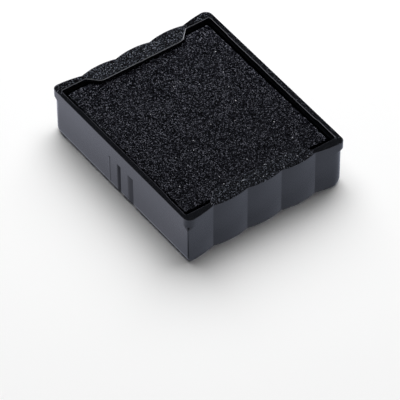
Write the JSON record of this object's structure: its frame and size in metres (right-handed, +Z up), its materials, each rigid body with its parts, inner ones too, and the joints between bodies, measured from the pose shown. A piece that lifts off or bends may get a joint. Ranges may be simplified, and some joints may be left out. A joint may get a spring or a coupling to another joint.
{
  "type": "ink pad cartridge",
  "caption": "Rectangular ink pad cartridge for a self-inking stamp: moulded tray with scalloped finger grips and retaining ledges, holding a foam pad over an ink felt.",
  "frame": {"origin": "middle of the base, on the surface the cartridge stands on", "axes": "+X across the two straight guide sides, +Y from one scalloped finger grip to the other, +Z up out of the pad"},
  "size_m": [0.046, 0.0556, 0.0135],
  "materials": {
    "tray_plastic": "black moulded plastic, satin on the walls and rim, fine spark-eroded texture on the tops of the ledges",
    "inked_foam": "fine open-cell foam soaked with black ink, granular, with small glints",
    "inked_felt": "matt absorbent felt soaked with black ink"
  },
  "bodies": {
    "root": {"cartridge_tray": "tray_plastic", "stamping_foam": "inked_foam", "ink_felt": "inked_felt"}
  },
  "joints": []
}
